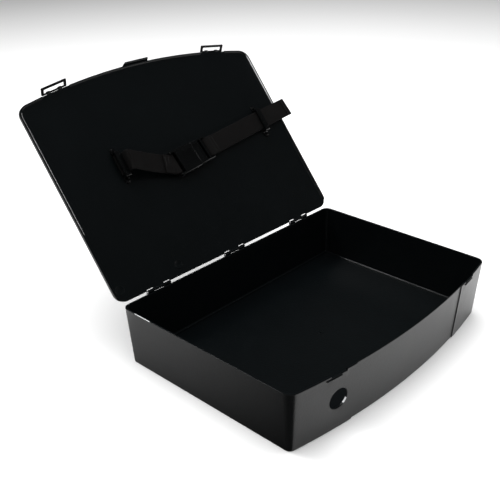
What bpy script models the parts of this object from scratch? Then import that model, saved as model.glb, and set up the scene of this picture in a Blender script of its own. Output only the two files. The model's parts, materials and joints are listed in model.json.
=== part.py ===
"""Slim hinged-lid plastic case, lid standing open, with a buckled retaining strap inside the lid.

Frame: origin at the centre of the tray's underside, +X along the hinge line to the right,
+Y from the bowed front to the hinge, +Z up. Lengths are metres.

The lid and everything on it are modelled closed, around the hinge axis. One empty on that axis
then swings them open. Places on the lid are given as (x, v, rise): v runs from the lid's back
edge towards its front edge, and rise is the height above the lid's inner face.
"""
import math

import bmesh
import bpy
from mathutils import Matrix, Vector

# ---- tray ----
RIM_WIDTH = 0.360
SIDE_LENGTH = 0.2403
FRONT_BOW = 0.019
TRAY_HEIGHT = 0.0707
WALL = 0.0022
DRAFT_INSET = 0.0051
BACK_RADIUS = 0.009
FRONT_RADIUS = 0.012
FLOOR_UNDERSIDE = 0.0043
FLOOR_TOP = 0.0065
FLOOR_COVE = 0.0025
FOOT_RIM = 0.0032
FOOT_ROUND = 0.0010
RIB = 0.0024
CENTRE_PAD_RADIUS = 0.013
FINGER_HOLE = (-0.117, 0.038, 0.012)
PANEL_X = (-0.095, 0.105)
PANEL_DEPTH = 0.0010
RIM_NOTCH_DEPTH = 0.0020
RIM_NOTCHES_X = ((-0.130, -0.109), (0.116, 0.139))
RIDGE_SIZE = (0.020, 0.0010, 0.0017)
RIDGE_DROP = 0.0022

# ---- lid and its hinges ----
LID_OPEN = math.radians(128.81)
LID_SKIN = 0.0020
LID_LIP = 0.0020
LID_OVERHANG = 0.0024
LID_LIP_GAP = 0.0005
LID_CLEAR = 0.0004
LID_BACK_EDGE = 0.0003
LID_BACK_RADIUS = 0.013
LID_EDGE_ROUND = 0.0006
HINGE_BACK = 0.00127
HINGE_UP = 0.00141
HINGE_CENTRES = (-0.1250, -0.0010, 0.1215)
HINGE_WIDTH = 0.034
TRAY_KNUCKLE = 0.0092
KNUCKLE_RADIUS = 0.0019
KNUCKLE_GAP = 0.0004
PIN_RADIUS = 0.0008
PIN_BORE = 0.0011
GUSSET_DROP = 0.0060
GUSSET_BITE = 0.0020
BARREL_SIDES = 20
WEB_DEPTH = 0.003
RELIEF_DEPTH = 0.0017
TAB_X = (-0.0230, 0.0180)
TAB_REACH = 0.0040
TAB_DROP = 0.0030
TAB_CHAMFER = 0.005

# ---- latch loops ----
LATCH_X = (-0.1262, 0.1255)
LATCH_NAMES = ("left", "right")
LATCH_TILT = math.radians(50.0)
LATCH_OUTSET = 0.0016
LATCH_LENGTH = 0.0086
LATCH_WIDTH = 0.037
LATCH_ARM = 0.0031
LATCH_BAR = 0.0024
LATCH_THICK = 0.0018
LATCH_ROD = 0.0009
CLIP_RADIUS = 0.0019
CLIP_BORE = 0.0012
CLIP_LENGTH = 0.0045
CLIP_OFFSET = 0.0085
LATCH_LIP_GAP = 0.0205
LATCH_EDGE_ROUND = 0.0003

# ---- retaining strap inside the lid ----
STRAP_WIDTH = 0.025
STRAP_THICK = 0.0014
STRAP_ANGLE = math.radians(6.2)
STRAP_SKEW = math.radians(14.0)
BUCKLE_CENTRE = (0.0040, 0.1270)
BUCKLE_RISE = 0.0045
ANCHOR_LEFT = (-0.0955, 0.1455)
ANCHOR_RIGHT = (0.1430, 0.1412)
ANCHOR_BAR = (0.0080, 0.0330, 0.0086)
ANCHOR_SLOT = (0.0290, 0.0015, 0.0062)
ANCHOR_FOOT = (0.0460, 0.0014)
RIVET_SPACING = 0.0395
RIVET_SHANK = 0.0012
RIVET_HOLE = 0.0015
RIVET_HEAD = (0.0024, 0.0011)
SHOULDER_X = -0.0900
SHOULDER_RISE = 0.0165
SHOULDER_ROUND = 0.0030
SHORT_STRAP_START = 0.0050
SHORT_STRAP_RISE = 0.0036
SHORT_STRAP_SAG = 0.0016
STRAP_END_GAP = 0.0007
TAIL_FOLD_X = 0.1500
TAIL_FOLD_GAP = 0.0008
TAIL_LENGTH = 0.0545
TAIL_REST_SHARE = 0.60
TAIL_LIP_RISE = 0.0031
TAIL_TIP_RISE = 0.0009
BUCKLE_WIDTH = 0.0330
BUCKLE_THICK = 0.0094
SOCKET_SPAN = (-0.031, 0.005)
PLUG_SPAN = (0.0054, 0.031)
BUCKLE_SLOT = 0.0036
BUCKLE_BAR = 0.0032
CAVITY_HALF = 0.0146
CAVITY_RISE = (0.0019, 0.0077)
BUCKLE_ROUND = 0.0011
BUCKLE_SIDE = 0.003
CAVITY_BACK_WALL = 0.0025
WINDOW_SPAN = (-0.0145, -0.0025)
PLUG_INSET = 0.0010
PLUG_THINNER = 0.0006
PRONG_REACH = 0.0185
PRONG_ROOT = 0.003
TONGUE_HALF = 0.0016
BARB_SPAN = (0.0060, 0.0110)

# ---- shared ----
FIT_GAP = 0.0003
PAST = 0.002
BOW_STEPS = 20
CORNER_STEPS = 6

# ---- worked out ----
HALF_WIDTH = RIM_WIDTH / 2
BACK_Y = (SIDE_LENGTH + FRONT_BOW) / 2
ARC_RADIUS = (HALF_WIDTH ** 2 + FRONT_BOW ** 2) / (2 * FRONT_BOW)
ARC_CENTRE_Y = ARC_RADIUS - BACK_Y
HINGE_Y = BACK_Y + HINGE_BACK
HINGE_Z = TRAY_HEIGHT + HINGE_UP
LID_RADIUS = ARC_RADIUS + LID_OVERHANG


def clear_scene():
    for obj in list(bpy.data.objects):
        bpy.data.objects.remove(obj)


def make_collection(name):
    collection = bpy.data.collections.new(name)
    bpy.context.scene.collection.children.link(collection)
    return collection


clear_scene()
PARTS = make_collection("hinged_lid_case")
CUTTERS = make_collection("cutters")


def make_material(name, colour, roughness, metallic=0.0):
    material = bpy.data.materials.new(name)
    material.use_nodes = True
    shader = material.node_tree.nodes["Principled BSDF"]
    shader.inputs["Base Color"].default_value = (*colour, 1.0)
    shader.inputs["Roughness"].default_value = roughness
    shader.inputs["Metallic"].default_value = metallic
    return material


# ---- building blocks ----
def arc(centre, radius, start, end, steps):
    """Points on a circular arc in the plan, from angle start to angle end in degrees."""
    points = []
    for i in range(steps + 1):
        angle = math.radians(start + (end - start) * i / steps)
        points.append((centre[0] + radius * math.cos(angle), centre[1] + radius * math.sin(angle)))
    return points


def plan_outline(offset, back_y=None, back_radius=None):
    """The case's plan moved outwards by offset: straight back and sides, bowed front."""
    half = HALF_WIDTH + offset
    bow = ARC_RADIUS + offset
    back = BACK_Y + offset if back_y is None else back_y
    r_back = BACK_RADIUS + offset if back_radius is None else back_radius
    r_front = FRONT_RADIUS + offset
    x_front = half - r_front
    y_front = ARC_CENTRE_Y - math.sqrt((bow - r_front) ** 2 - x_front ** 2)
    tangent = math.degrees(math.atan2(y_front - ARC_CENTRE_Y, x_front))
    outline = arc((0, ARC_CENTRE_Y), bow, -180 - tangent, tangent, BOW_STEPS)
    outline += arc((x_front, y_front), r_front, tangent, 0, CORNER_STEPS)[1:]
    outline += arc((half - r_back, back - r_back), r_back, 0, 90, CORNER_STEPS)
    outline += arc((r_back - half, back - r_back), r_back, 90, 180, CORNER_STEPS)
    outline += arc((-x_front, y_front), r_front, 180, 180 - tangent, CORNER_STEPS)[:-1]
    return outline


def finish_object(name, bm, collection, material=None, parent=None, matrix=None):
    bmesh.ops.recalc_face_normals(bm, faces=bm.faces)
    mesh = bpy.data.meshes.new(name)
    bm.to_mesh(mesh)
    bm.free()
    mesh.shade_smooth()
    mesh.set_sharp_from_angle(angle=math.radians(32))
    obj = bpy.data.objects.new(name, mesh)
    collection.objects.link(obj)
    if material:
        mesh.materials.append(material)
    if parent:
        obj.parent = parent
    if matrix is not None:
        obj.matrix_local = matrix
    if collection is CUTTERS:
        obj.hide_render = True
        obj.display_type = "WIRE"
    return obj


def add_prism(bm, low_outline, z_low, high_outline, z_high, low_round=0.0):
    """A drafted block between two plan outlines of equal count, its low edge rounded."""
    low = [bm.verts.new((x, y, z_low)) for x, y in low_outline]
    base = bm.faces.new(low)
    goal = {tuple(v.co.xy): point for v, point in zip(low, high_outline)}
    raised = bmesh.ops.extrude_face_region(bm, geom=[base], use_keep_orig=True)["geom"]
    for v in (g for g in raised if isinstance(g, bmesh.types.BMVert)):
        x, y = goal[tuple(v.co.xy)]
        v.co = (x, y, z_high)
    if low_round:
        edges = [e for e in base.edges]
        bmesh.ops.bevel(bm, geom=edges, offset=low_round, segments=3, profile=0.5, affect="EDGES")


def add_box(bm, low, high, matrix=None):
    low, high = Vector(low), Vector(high)
    place = Matrix.Translation((low + high) / 2) @ Matrix.Diagonal((*(high - low), 1))
    if matrix is not None:
        place = matrix @ place
    bmesh.ops.create_cube(bm, size=1.0, matrix=place)


def add_rod(bm, radius, x_low, x_high, y=0.0, z=0.0, sides=16, matrix=None):
    """A closed cylinder along X."""
    place = Matrix.Translation(((x_low + x_high) / 2, y, z)) @ Matrix.Rotation(math.pi / 2, 4, "Y")
    if matrix is not None:
        place = matrix @ place
    bmesh.ops.create_cone(bm, cap_ends=True, segments=sides, radius1=radius, radius2=radius,
                          depth=x_high - x_low, matrix=place)


def add_profile(bm, points, x_low, x_high, matrix=None):
    """A flat outline in the YZ plane, extruded along X."""
    face = bm.faces.new([bm.verts.new((x_low, y, z)) for y, z in points])
    raised = bmesh.ops.extrude_face_region(bm, geom=[face], use_keep_orig=True)["geom"]
    moved = [g for g in raised if isinstance(g, bmesh.types.BMVert)]
    bmesh.ops.translate(bm, verts=moved, vec=(x_high - x_low, 0, 0))
    if matrix is not None:
        bmesh.ops.transform(bm, matrix=matrix, verts=list(face.verts) + moved)


def boolean(obj, tool, operation):
    modifier = obj.modifiers.new(f"{operation.lower()}_{tool.name}", "BOOLEAN")
    modifier.operation = operation
    modifier.object = tool
    modifier.solver = "EXACT"


def knuckle_spans(centre):
    """X ranges of one hinge: the tray's two outer knuckles and the lid's middle one."""
    low, high = centre - HINGE_WIDTH / 2, centre + HINGE_WIDTH / 2
    tray = ((low, low + TRAY_KNUCKLE), (high - TRAY_KNUCKLE, high))
    lid = (low + TRAY_KNUCKLE + KNUCKLE_GAP, high - TRAY_KNUCKLE - KNUCKLE_GAP)
    return tray, lid


def front_y(x, offset=0.0):
    """Y of the bowed front at x, moved outwards by offset."""
    return ARC_CENTRE_Y - math.sqrt((ARC_RADIUS + offset) ** 2 - x ** 2)


# ---- tray ----
def tray_inset(z):
    return -DRAFT_INSET * (TRAY_HEIGHT - z) / TRAY_HEIGHT


def tray_cavity_cutter():
    top = TRAY_HEIGHT + PAST
    bm = bmesh.new()
    add_prism(bm, plan_outline(tray_inset(FLOOR_TOP) - WALL), FLOOR_TOP,
              plan_outline(tray_inset(top) - WALL), top, low_round=FLOOR_COVE)
    return finish_object("cut_tray_cavity", bm, CUTTERS)


def underside_cutter():
    """The hollow under the raised floor, less the crossed ribs and the round centre pad."""
    bm = bmesh.new()
    low = -PAST
    add_prism(bm, plan_outline(tray_inset(low) - FOOT_RIM), low,
              plan_outline(tray_inset(FLOOR_UNDERSIDE) - FOOT_RIM), FLOOR_UNDERSIDE)
    hollow = finish_object("cut_underside", bm, CUTTERS)
    bm = bmesh.new()
    add_box(bm, (-RIM_WIDTH, -RIB / 2, 2 * low), (RIM_WIDTH, RIB / 2, FLOOR_TOP))
    long_rib = finish_object("keep_long_rib", bm, CUTTERS)
    bm = bmesh.new()
    add_box(bm, (-RIB / 2, -RIM_WIDTH, 2 * low), (RIB / 2, RIM_WIDTH, FLOOR_TOP))
    cross_rib = finish_object("keep_cross_rib", bm, CUTTERS)
    bm = bmesh.new()
    bmesh.ops.create_cone(bm, cap_ends=True, segments=28, radius1=CENTRE_PAD_RADIUS,
                          radius2=CENTRE_PAD_RADIUS, depth=6 * FLOOR_TOP)
    pad = finish_object("keep_centre_pad", bm, CUTTERS)
    for kept in (long_rib, cross_rib, pad):
        boolean(hollow, kept, "DIFFERENCE")
    return hollow


def label_panel_cutter():
    """A skin of constant depth on the bowed front, between the panel's two upright edges."""
    low, high = -PAST, TRAY_HEIGHT + PAST
    behind = FRONT_BOW + 2 * WALL
    bm = bmesh.new()
    add_box(bm, (PANEL_X[0], -BACK_Y - behind, low), (PANEL_X[1], -BACK_Y + behind, high))
    panel = finish_object("cut_label_panel", bm, CUTTERS)
    bm = bmesh.new()
    add_prism(bm, plan_outline(tray_inset(2 * low) - PANEL_DEPTH), 2 * low,
              plan_outline(tray_inset(2 * high) - PANEL_DEPTH), 2 * high)
    core = finish_object("keep_panel_core", bm, CUTTERS)
    boolean(panel, core, "DIFFERENCE")
    return panel


def front_cuts():
    """The round finger hole and the two shallow notches in the front rim."""
    bm = bmesh.new()
    x, z, radius = FINGER_HOLE
    through = Matrix.Translation((x, front_y(x), z)) @ Matrix.Rotation(math.pi / 2, 4, "X")
    bmesh.ops.create_cone(bm, cap_ends=True, segments=40, radius1=radius, radius2=radius,
                          depth=2 * radius, matrix=through)
    across = 3 * WALL
    for x_low, x_high in RIM_NOTCHES_X:
        y = front_y((x_low + x_high) / 2)
        add_box(bm, (x_low, y - across, TRAY_HEIGHT - RIM_NOTCH_DEPTH),
                (x_high, y + across, TRAY_HEIGHT + PAST))
    return finish_object("cut_front", bm, CUTTERS)


def hinge_clearance_cutter():
    """Room in the back rim for the lid's knuckles to turn."""
    bm = bmesh.new()
    for centre in HINGE_CENTRES:
        _, (low, high) = knuckle_spans(centre)
        add_rod(bm, KNUCKLE_RADIUS + KNUCKLE_GAP, low - KNUCKLE_GAP, high + KNUCKLE_GAP,
                HINGE_Y, HINGE_Z, sides=BARREL_SIDES)
    return finish_object("cut_hinge_clearance", bm, CUTTERS)


def tray_gussets():
    """Gussets down the back wall, one under each of the tray's hinge barrels."""
    bm = bmesh.new()
    bitten, y_out = BACK_Y - GUSSET_BITE, HINGE_Y + KNUCKLE_RADIUS
    low = TRAY_HEIGHT - GUSSET_DROP
    neck, shoulder = HINGE_Y - 0.7 * KNUCKLE_RADIUS, TRAY_HEIGHT - FIT_GAP
    gusset = [(neck, HINGE_Z), (neck, shoulder), (bitten, shoulder), (bitten, low),
              (BACK_Y, low), (y_out, HINGE_Z - 1.4 * KNUCKLE_RADIUS), (y_out, HINGE_Z)]
    for centre in HINGE_CENTRES:
        for low, high in knuckle_spans(centre)[0]:
            add_profile(bm, gusset, low, high)
    return finish_object("add_tray_gussets", bm, CUTTERS)


def tray_barrels():
    bm = bmesh.new()
    for centre in HINGE_CENTRES:
        for low, high in knuckle_spans(centre)[0]:
            add_rod(bm, KNUCKLE_RADIUS, low, high, HINGE_Y, HINGE_Z, sides=BARREL_SIDES)
    return finish_object("add_tray_barrels", bm, CUTTERS)


def catch_ridges():
    """The wedge on the front wall, below each rim notch, that a latch loop snaps under."""
    bm = bmesh.new()
    width, proud, height = RIDGE_SIZE
    root = WALL / 2
    for x in LATCH_X:
        turn = math.asin(x / ARC_RADIUS)
        top = TRAY_HEIGHT - RIDGE_DROP
        inset = -tray_inset(top - height)
        outline = [(root, top), (inset, top), (-proud, top - 0.6 * height),
                   (-proud, top - height), (root, top - height)]
        add_profile(bm, outline, -width / 2, width / 2,
                    Matrix.Translation((x, front_y(x), 0)) @ Matrix.Rotation(turn, 4, "Z"))
    return finish_object("add_catch_ridges", bm, CUTTERS)


def pin_bores(matrix=None):
    bm = bmesh.new()
    reach = HINGE_WIDTH / 2 + PAST
    for centre in HINGE_CENTRES:
        add_rod(bm, PIN_BORE, centre - reach, centre + reach, HINGE_Y, HINGE_Z, matrix=matrix)
    return bm


def make_tray(material):
    bm = bmesh.new()
    add_prism(bm, plan_outline(-DRAFT_INSET), 0.0, plan_outline(0.0), TRAY_HEIGHT,
              low_round=FOOT_ROUND)
    tray = finish_object("base_tray", bm, PARTS, material)
    for tool in (tray_cavity_cutter(), underside_cutter(), label_panel_cutter(), front_cuts()):
        boolean(tray, tool, "DIFFERENCE")
    boolean(tray, hinge_clearance_cutter(), "DIFFERENCE")
    for tool in (tray_gussets(), tray_barrels(), catch_ridges()):
        boolean(tray, tool, "UNION")
    boolean(tray, finish_object("cut_tray_pin_bores", pin_bores(), CUTTERS), "DIFFERENCE")
    return tray


def make_hinge_pins(material):
    for name, centre in zip(("left", "centre", "right"), HINGE_CENTRES):
        bm = bmesh.new()
        add_rod(bm, PIN_RADIUS, -HINGE_WIDTH / 2, HINGE_WIDTH / 2, sides=14)
        finish_object(f"hinge_pin_{name}", bm, PARTS, material,
                      matrix=Matrix.Translation((centre, HINGE_Y, HINGE_Z)))


# ---- lid ----
def closed_frame():
    """Moves a point given in the closed case's own frame to the hinge axis's frame."""
    return Matrix.Translation((0, -HINGE_Y, -HINGE_Z))


def lid_place(x, v, rise):
    """A place on the lid's inner face, in the hinge axis's frame."""
    return Vector((x, LID_BACK_EDGE - HINGE_BACK - v, LID_CLEAR - HINGE_UP - rise))


def lid_prism(offset, back_y, back_radius, z_low, z_high, low_round=0.0):
    """An upright block of the lid's plan, in the hinge axis's frame, its top edge rounded."""
    outline = plan_outline(offset, back_y, back_radius)
    bm = bmesh.new()
    add_prism(bm, outline, z_high, outline, z_low, low_round=low_round)
    bmesh.ops.transform(bm, matrix=closed_frame(), verts=bm.verts)
    return bm


def latch_frame(x):
    """The frame of one latch's pivot on the closed lid: X along the edge, -Y outwards."""
    edge = front_y(x, LID_OVERHANG)
    turn = math.asin(x / LID_RADIUS)
    height = TRAY_HEIGHT + LID_CLEAR + LID_SKIN / 2
    outwards = Vector((math.sin(turn), -math.cos(turn), 0)) * LATCH_OUTSET
    place = Matrix.Translation(Vector((x, edge, height)) + outwards)
    return closed_frame() @ place @ Matrix.Rotation(turn, 4, "Z")


def lid_hollow_cutter():
    """The flat inner face within the lip, open at the back edge."""
    top = TRAY_HEIGHT + LID_CLEAR
    bm = lid_prism(LID_LIP_GAP, BACK_Y + LID_BACK_RADIUS, LID_BACK_RADIUS / 3,
                   top - 2 * LID_LIP, top)
    return finish_object("cut_lid_hollow", bm, CUTTERS)


def lid_relief_cutter():
    """Room at the back edge for the tray's knuckles, and gaps in the lip at the latches."""
    bm = bmesh.new()
    for centre in HINGE_CENTRES:
        for low, high in knuckle_spans(centre)[0]:
            near = lid_place(low - KNUCKLE_GAP, -2 * PAST, 3 * LID_SKIN)
            far = lid_place(high + KNUCKLE_GAP, RELIEF_DEPTH, -3 * LID_SKIN)
            add_box(bm, (near.x, far.y, near.z), (far.x, near.y, far.z))
    for x in LATCH_X:
        inner = LATCH_OUTSET + LID_OVERHANG + WEB_DEPTH
        add_box(bm, (-LATCH_LIP_GAP, -PAST, -4 * LID_SKIN), (LATCH_LIP_GAP, inner, -LID_SKIN / 2),
                latch_frame(x))
    return finish_object("cut_lid_relief", bm, CUTTERS)


def lid_knuckles():
    bm = bmesh.new()
    for centre in HINGE_CENTRES:
        low, high = knuckle_spans(centre)[1]
        add_rod(bm, KNUCKLE_RADIUS, low, high, sides=BARREL_SIDES)
    for x in LATCH_X:
        for side in (-1, 1):
            middle = side * CLIP_OFFSET
            add_rod(bm, CLIP_RADIUS, middle - CLIP_LENGTH / 2, middle + CLIP_LENGTH / 2,
                    sides=18, matrix=latch_frame(x))
    return finish_object("add_lid_knuckles", bm, CUTTERS)


def lid_webs():
    """Flat webs that join the barrels to the lid's edge."""
    bm = bmesh.new()
    for centre in HINGE_CENTRES:
        low, high = knuckle_spans(centre)[1]
        outer = lid_place(high, WEB_DEPTH, -LID_SKIN)
        inner = lid_place(low, WEB_DEPTH, 0)
        add_box(bm, (low, inner.y, inner.z), (high, 0, outer.z))
    for x in LATCH_X:
        for side in (-1, 1):
            middle = side * CLIP_OFFSET
            add_box(bm, (middle - CLIP_LENGTH / 2, 0, -LID_SKIN / 2),
                    (middle + CLIP_LENGTH / 2, LATCH_OUTSET + PAST, LID_SKIN / 2),
                    latch_frame(x))
    return finish_object("add_lid_webs", bm, CUTTERS)


def thumb_tab():
    """The curled lift tab in the middle of the front edge, its left shoulder cut back."""
    inner_r = TAB_REACH - LID_SKIN
    outline = [(WEB_DEPTH, LID_SKIN)]
    outline += arc((0, LID_SKIN - TAB_REACH), TAB_REACH, 90, 180, CORNER_STEPS)
    outline += [(-TAB_REACH, -TAB_DROP), (-inner_r, -TAB_DROP)]
    outline += arc((0, LID_SKIN - TAB_REACH), inner_r, 180, 90, CORNER_STEPS)
    outline += [(WEB_DEPTH, 0.0)]
    bm = bmesh.new()
    place = Matrix.Translation((0, front_y(0, LID_OVERHANG), TRAY_HEIGHT + LID_CLEAR))
    add_profile(bm, outline, *TAB_X)
    for v in bm.verts:
        if v.co.x < 0:
            v.co.x += TAB_CHAMFER * min(1.0, max(0.0, -v.co.y / TAB_REACH))
    bmesh.ops.transform(bm, matrix=closed_frame() @ place, verts=bm.verts)
    return finish_object("add_thumb_tab", bm, CUTTERS)


def lid_bores():
    bm = pin_bores(closed_frame())
    for x in LATCH_X:
        reach = CLIP_OFFSET + CLIP_LENGTH
        add_rod(bm, CLIP_BORE, -reach, reach, matrix=latch_frame(x))
    for place in rivet_places():
        bmesh.ops.create_cone(bm, cap_ends=True, segments=14, radius1=RIVET_HOLE,
                              radius2=RIVET_HOLE, depth=3 * LID_SKIN,
                              matrix=Matrix.Translation(place))
    return finish_object("cut_lid_bores", bm, CUTTERS)


def make_lid(material, swing):
    bottom = TRAY_HEIGHT + LID_CLEAR - LID_LIP
    bm = lid_prism(LID_OVERHANG, BACK_Y + LID_BACK_EDGE, LID_BACK_RADIUS,
                   bottom, bottom + LID_LIP + LID_SKIN, low_round=LID_EDGE_ROUND)
    lid = finish_object("lid", bm, PARTS, material, swing)
    boolean(lid, lid_hollow_cutter(), "DIFFERENCE")
    boolean(lid, lid_relief_cutter(), "DIFFERENCE")
    boolean(lid, lid_webs(), "UNION")
    boolean(lid, lid_knuckles(), "UNION")
    boolean(lid, thumb_tab(), "UNION")
    boolean(lid, lid_bores(), "DIFFERENCE")
    for tool in CUTTERS.objects:
        if tool.name in {m.object.name for m in lid.modifiers}:
            tool.parent = swing
    return lid


# ---- latch loops ----
def make_latch_loop(name, x, material, swing):
    """A flat rectangular loop on a round rod that turns in the lid's two clips."""
    half = LATCH_WIDTH / 2
    thick = LATCH_THICK / 2
    matrix = latch_frame(x) @ Matrix.Rotation(LATCH_TILT, 4, "X")
    bm = bmesh.new()
    add_box(bm, (-half, -LATCH_LENGTH, -thick), (half, LATCH_ROD, thick))
    loop = finish_object(name, bm, PARTS, material, swing, matrix)
    bm = bmesh.new()
    add_box(bm, (LATCH_ARM - half, LATCH_BAR - LATCH_LENGTH, -PAST),
            (half - LATCH_ARM, PAST, PAST))
    window = finish_object(f"cut_window_{name}", bm, CUTTERS, None, swing, matrix)
    bm = bmesh.new()
    add_rod(bm, LATCH_ROD, LATCH_ARM / 2 - half, half - LATCH_ARM / 2, sides=14)
    rod = finish_object(f"add_rod_{name}", bm, CUTTERS, None, swing, matrix)
    boolean(loop, window, "DIFFERENCE")
    boolean(loop, rod, "UNION")
    bevel = loop.modifiers.new("rounded_edges", "BEVEL")
    bevel.width = LATCH_EDGE_ROUND
    bevel.segments = 1
    bevel.limit_method = "ANGLE"
    bevel.angle_limit = math.radians(60)


# ---- strap, its anchors and rivets ----
def rivet_places():
    """Centres of the four rivets on the lid's inner face, in the hinge axis's frame."""
    places = []
    for x, v in (ANCHOR_LEFT, ANCHOR_RIGHT):
        for side in (-1, 1):
            places.append(lid_place(x, v + side * RIVET_SPACING / 2, 0))
    return places


def make_anchor(name, place, material, swing):
    """A moulded bridge: a bar on two posts over the strap, with a flat foot at each end."""
    width, length, height = ANCHOR_BAR
    slot_length, slot_low, slot_high = ANCHOR_SLOT
    foot_length, foot_top = ANCHOR_FOOT
    matrix = Matrix.Translation(lid_place(*place, 0)) @ Matrix.Rotation(math.pi, 4, "X")
    bm = bmesh.new()
    add_box(bm, (-width / 2, -length / 2, FIT_GAP), (width / 2, length / 2, height))
    anchor = finish_object(name, bm, PARTS, material, swing, matrix)
    bm = bmesh.new()
    add_box(bm, (-width, -slot_length / 2, slot_low), (width, slot_length / 2, slot_high))
    slot = finish_object(f"cut_slot_{name}", bm, CUTTERS, None, swing, matrix)
    bm = bmesh.new()
    add_box(bm, (FIT_GAP - width / 2, -foot_length / 2, FIT_GAP),
            (width / 2 - FIT_GAP, foot_length / 2, foot_top))
    foot = finish_object(f"add_foot_{name}", bm, CUTTERS, None, swing, matrix)
    bm = bmesh.new()
    for side in (-1, 1):
        bmesh.ops.create_cone(bm, cap_ends=True, segments=14, radius1=RIVET_HOLE,
                              radius2=RIVET_HOLE, depth=2 * height,
                              matrix=Matrix.Translation((0, side * RIVET_SPACING / 2, 0)))
    holes = finish_object(f"cut_holes_{name}", bm, CUTTERS, None, swing, matrix)
    boolean(anchor, foot, "UNION")
    boolean(anchor, slot, "DIFFERENCE")
    boolean(anchor, holes, "DIFFERENCE")


def make_rivets(material, swing):
    """Turned rivets: a domed head on the anchor's foot, and a flat head outside the lid."""
    head_r, head_h = RIVET_HEAD
    inside = ANCHOR_FOOT[1] + FIT_GAP
    outside = -LID_SKIN - FIT_GAP
    profile = [(0, inside + head_h), (0.6 * head_r, inside + 0.85 * head_h),
               (head_r, inside + 0.3 * head_h), (head_r, inside), (RIVET_SHANK, inside),
               (RIVET_SHANK, outside), (head_r, outside), (head_r, outside - 0.5 * head_h),
               (0, outside - 0.7 * head_h)]
    for number, place in enumerate(rivet_places(), start=1):
        bm = bmesh.new()
        verts = [bm.verts.new((r, 0, z)) for r, z in profile]
        for a, b in zip(verts, verts[1:]):
            bm.edges.new((a, b))
        rivet = finish_object(f"strap_rivet_{number}", bm, PARTS, material, swing,
                              Matrix.Translation(place) @ Matrix.Rotation(math.pi, 4, "X"))
        screw = rivet.modifiers.new("turned", "SCREW")
        screw.axis = "Z"
        screw.steps = 14
        screw.render_steps = 14
        screw.use_merge_vertices = True
        screw.merge_threshold = 0.00001


def ribbon(name, path, widths, material, swing):
    """A strap along a path of lid places, each with its own width direction in the lid's plane."""
    bm = bmesh.new()
    rows = []
    for (x, v, rise), angle in zip(path, widths):
        across = Vector((-math.sin(angle), -math.cos(angle), 0)) * STRAP_WIDTH / 2
        centre = lid_place(x, v, rise)
        rows.append((bm.verts.new(centre - across), bm.verts.new(centre + across)))
    for (a, b), (c, d) in zip(rows, rows[1:]):
        bm.faces.new((a, b, d, c))
    strap = finish_object(name, bm, PARTS, material, swing)
    solid = strap.modifiers.new("webbing_thickness", "SOLIDIFY")
    solid.thickness = STRAP_THICK
    solid.offset = 0.0
    solid.use_even_offset = True
    return strap


def along_buckle(s, w=0.0):
    """(x, v) at distance s along the buckle's line and w across it."""
    x = BUCKLE_CENTRE[0] + s * math.cos(STRAP_ANGLE) - w * math.sin(STRAP_ANGLE)
    v = BUCKLE_CENTRE[1] + s * math.sin(STRAP_ANGLE) + w * math.cos(STRAP_ANGLE)
    return x, v


def make_short_strap(material, swing):
    """Under the left anchor's bar, up to a shoulder, then down to the buckle's socket."""
    end = along_buckle(SOCKET_SPAN[0] - STRAP_END_GAP)
    level = SHORT_STRAP_RISE
    turn = SHOULDER_ROUND
    side = [(ANCHOR_LEFT[0] - SHORT_STRAP_START, level), (SHOULDER_X - turn, level)]
    side += arc((SHOULDER_X - turn, level + turn), turn, -60, 0, 2)
    side += arc((SHOULDER_X + turn, SHOULDER_RISE - turn), turn, 180, 100, 4)
    start_x, start_rise = side[-1]
    steps = 6
    for i in range(1, steps + 1):
        t = i / steps
        sag = SHORT_STRAP_SAG * math.sin(math.pi * t)
        side.append((start_x + (end[0] - start_x) * t,
                     start_rise + (BUCKLE_RISE - start_rise) * t - sag))
    path, widths = [], []
    for x, rise in side:
        share = min(1.0, max(0.0, (x - SHOULDER_X) / (end[0] - SHOULDER_X)))
        path.append((x, ANCHOR_LEFT[1] + (end[1] - ANCHOR_LEFT[1]) * share, rise))
        widths.append(STRAP_ANGLE * share - STRAP_SKEW * math.sin(math.pi * share))
    return ribbon("short_strap", path, widths, material, swing)


def fold_distance():
    """Distance along the strap's line from the buckle's centre to the tail's fold."""
    return (TAIL_FOLD_X - BUCKLE_CENTRE[0]) / math.cos(STRAP_ANGLE)


def make_long_strap(material, slider):
    """Straight from the plug and through the right anchor, as far as the tail's fold."""
    start = PLUG_SPAN[1] + STRAP_END_GAP
    end = fold_distance() - TAIL_FOLD_GAP
    path = [(*along_buckle(s), BUCKLE_RISE) for s in (start, (start + end) / 2, end)]
    return ribbon("long_strap", path, [STRAP_ANGLE] * len(path), material, slider)


def make_strap_tail(material, slider):
    """The free end: it rests on the lid's lip, sags past it, and folds up at the anchor."""
    steps = 8
    path = []
    for i in range(steps + 1):
        share = i / steps
        s = TAIL_FOLD_GAP + (TAIL_LENGTH - TAIL_FOLD_GAP) * share
        if share < TAIL_REST_SHARE:
            level = BUCKLE_RISE + (TAIL_LIP_RISE - BUCKLE_RISE) * share / TAIL_REST_SHARE
        else:
            past = (share - TAIL_REST_SHARE) / (1 - TAIL_REST_SHARE)
            level = TAIL_LIP_RISE + (TAIL_TIP_RISE - TAIL_LIP_RISE) * past ** 1.5
        path.append((*along_buckle(fold_distance() + s), level))
    return ribbon("strap_tail", path, [STRAP_ANGLE] * len(path), material, slider)


# ---- buckle ----
def buckle_frame():
    """X along the strap towards the right anchor, Z away from the lid's inner face."""
    place = Matrix.Translation(lid_place(*BUCKLE_CENTRE, 0))
    return place @ Matrix.Rotation(-STRAP_ANGLE, 4, "Z") @ Matrix.Rotation(math.pi, 4, "X")


def strap_gap(bm, start, half, low, high):
    """One gap across the buckle, where the webbing turns round a bar."""
    side = half - BUCKLE_SIDE
    add_box(bm, (start, -side, low - PAST), (start + BUCKLE_SLOT, side, high + PAST))


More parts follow.
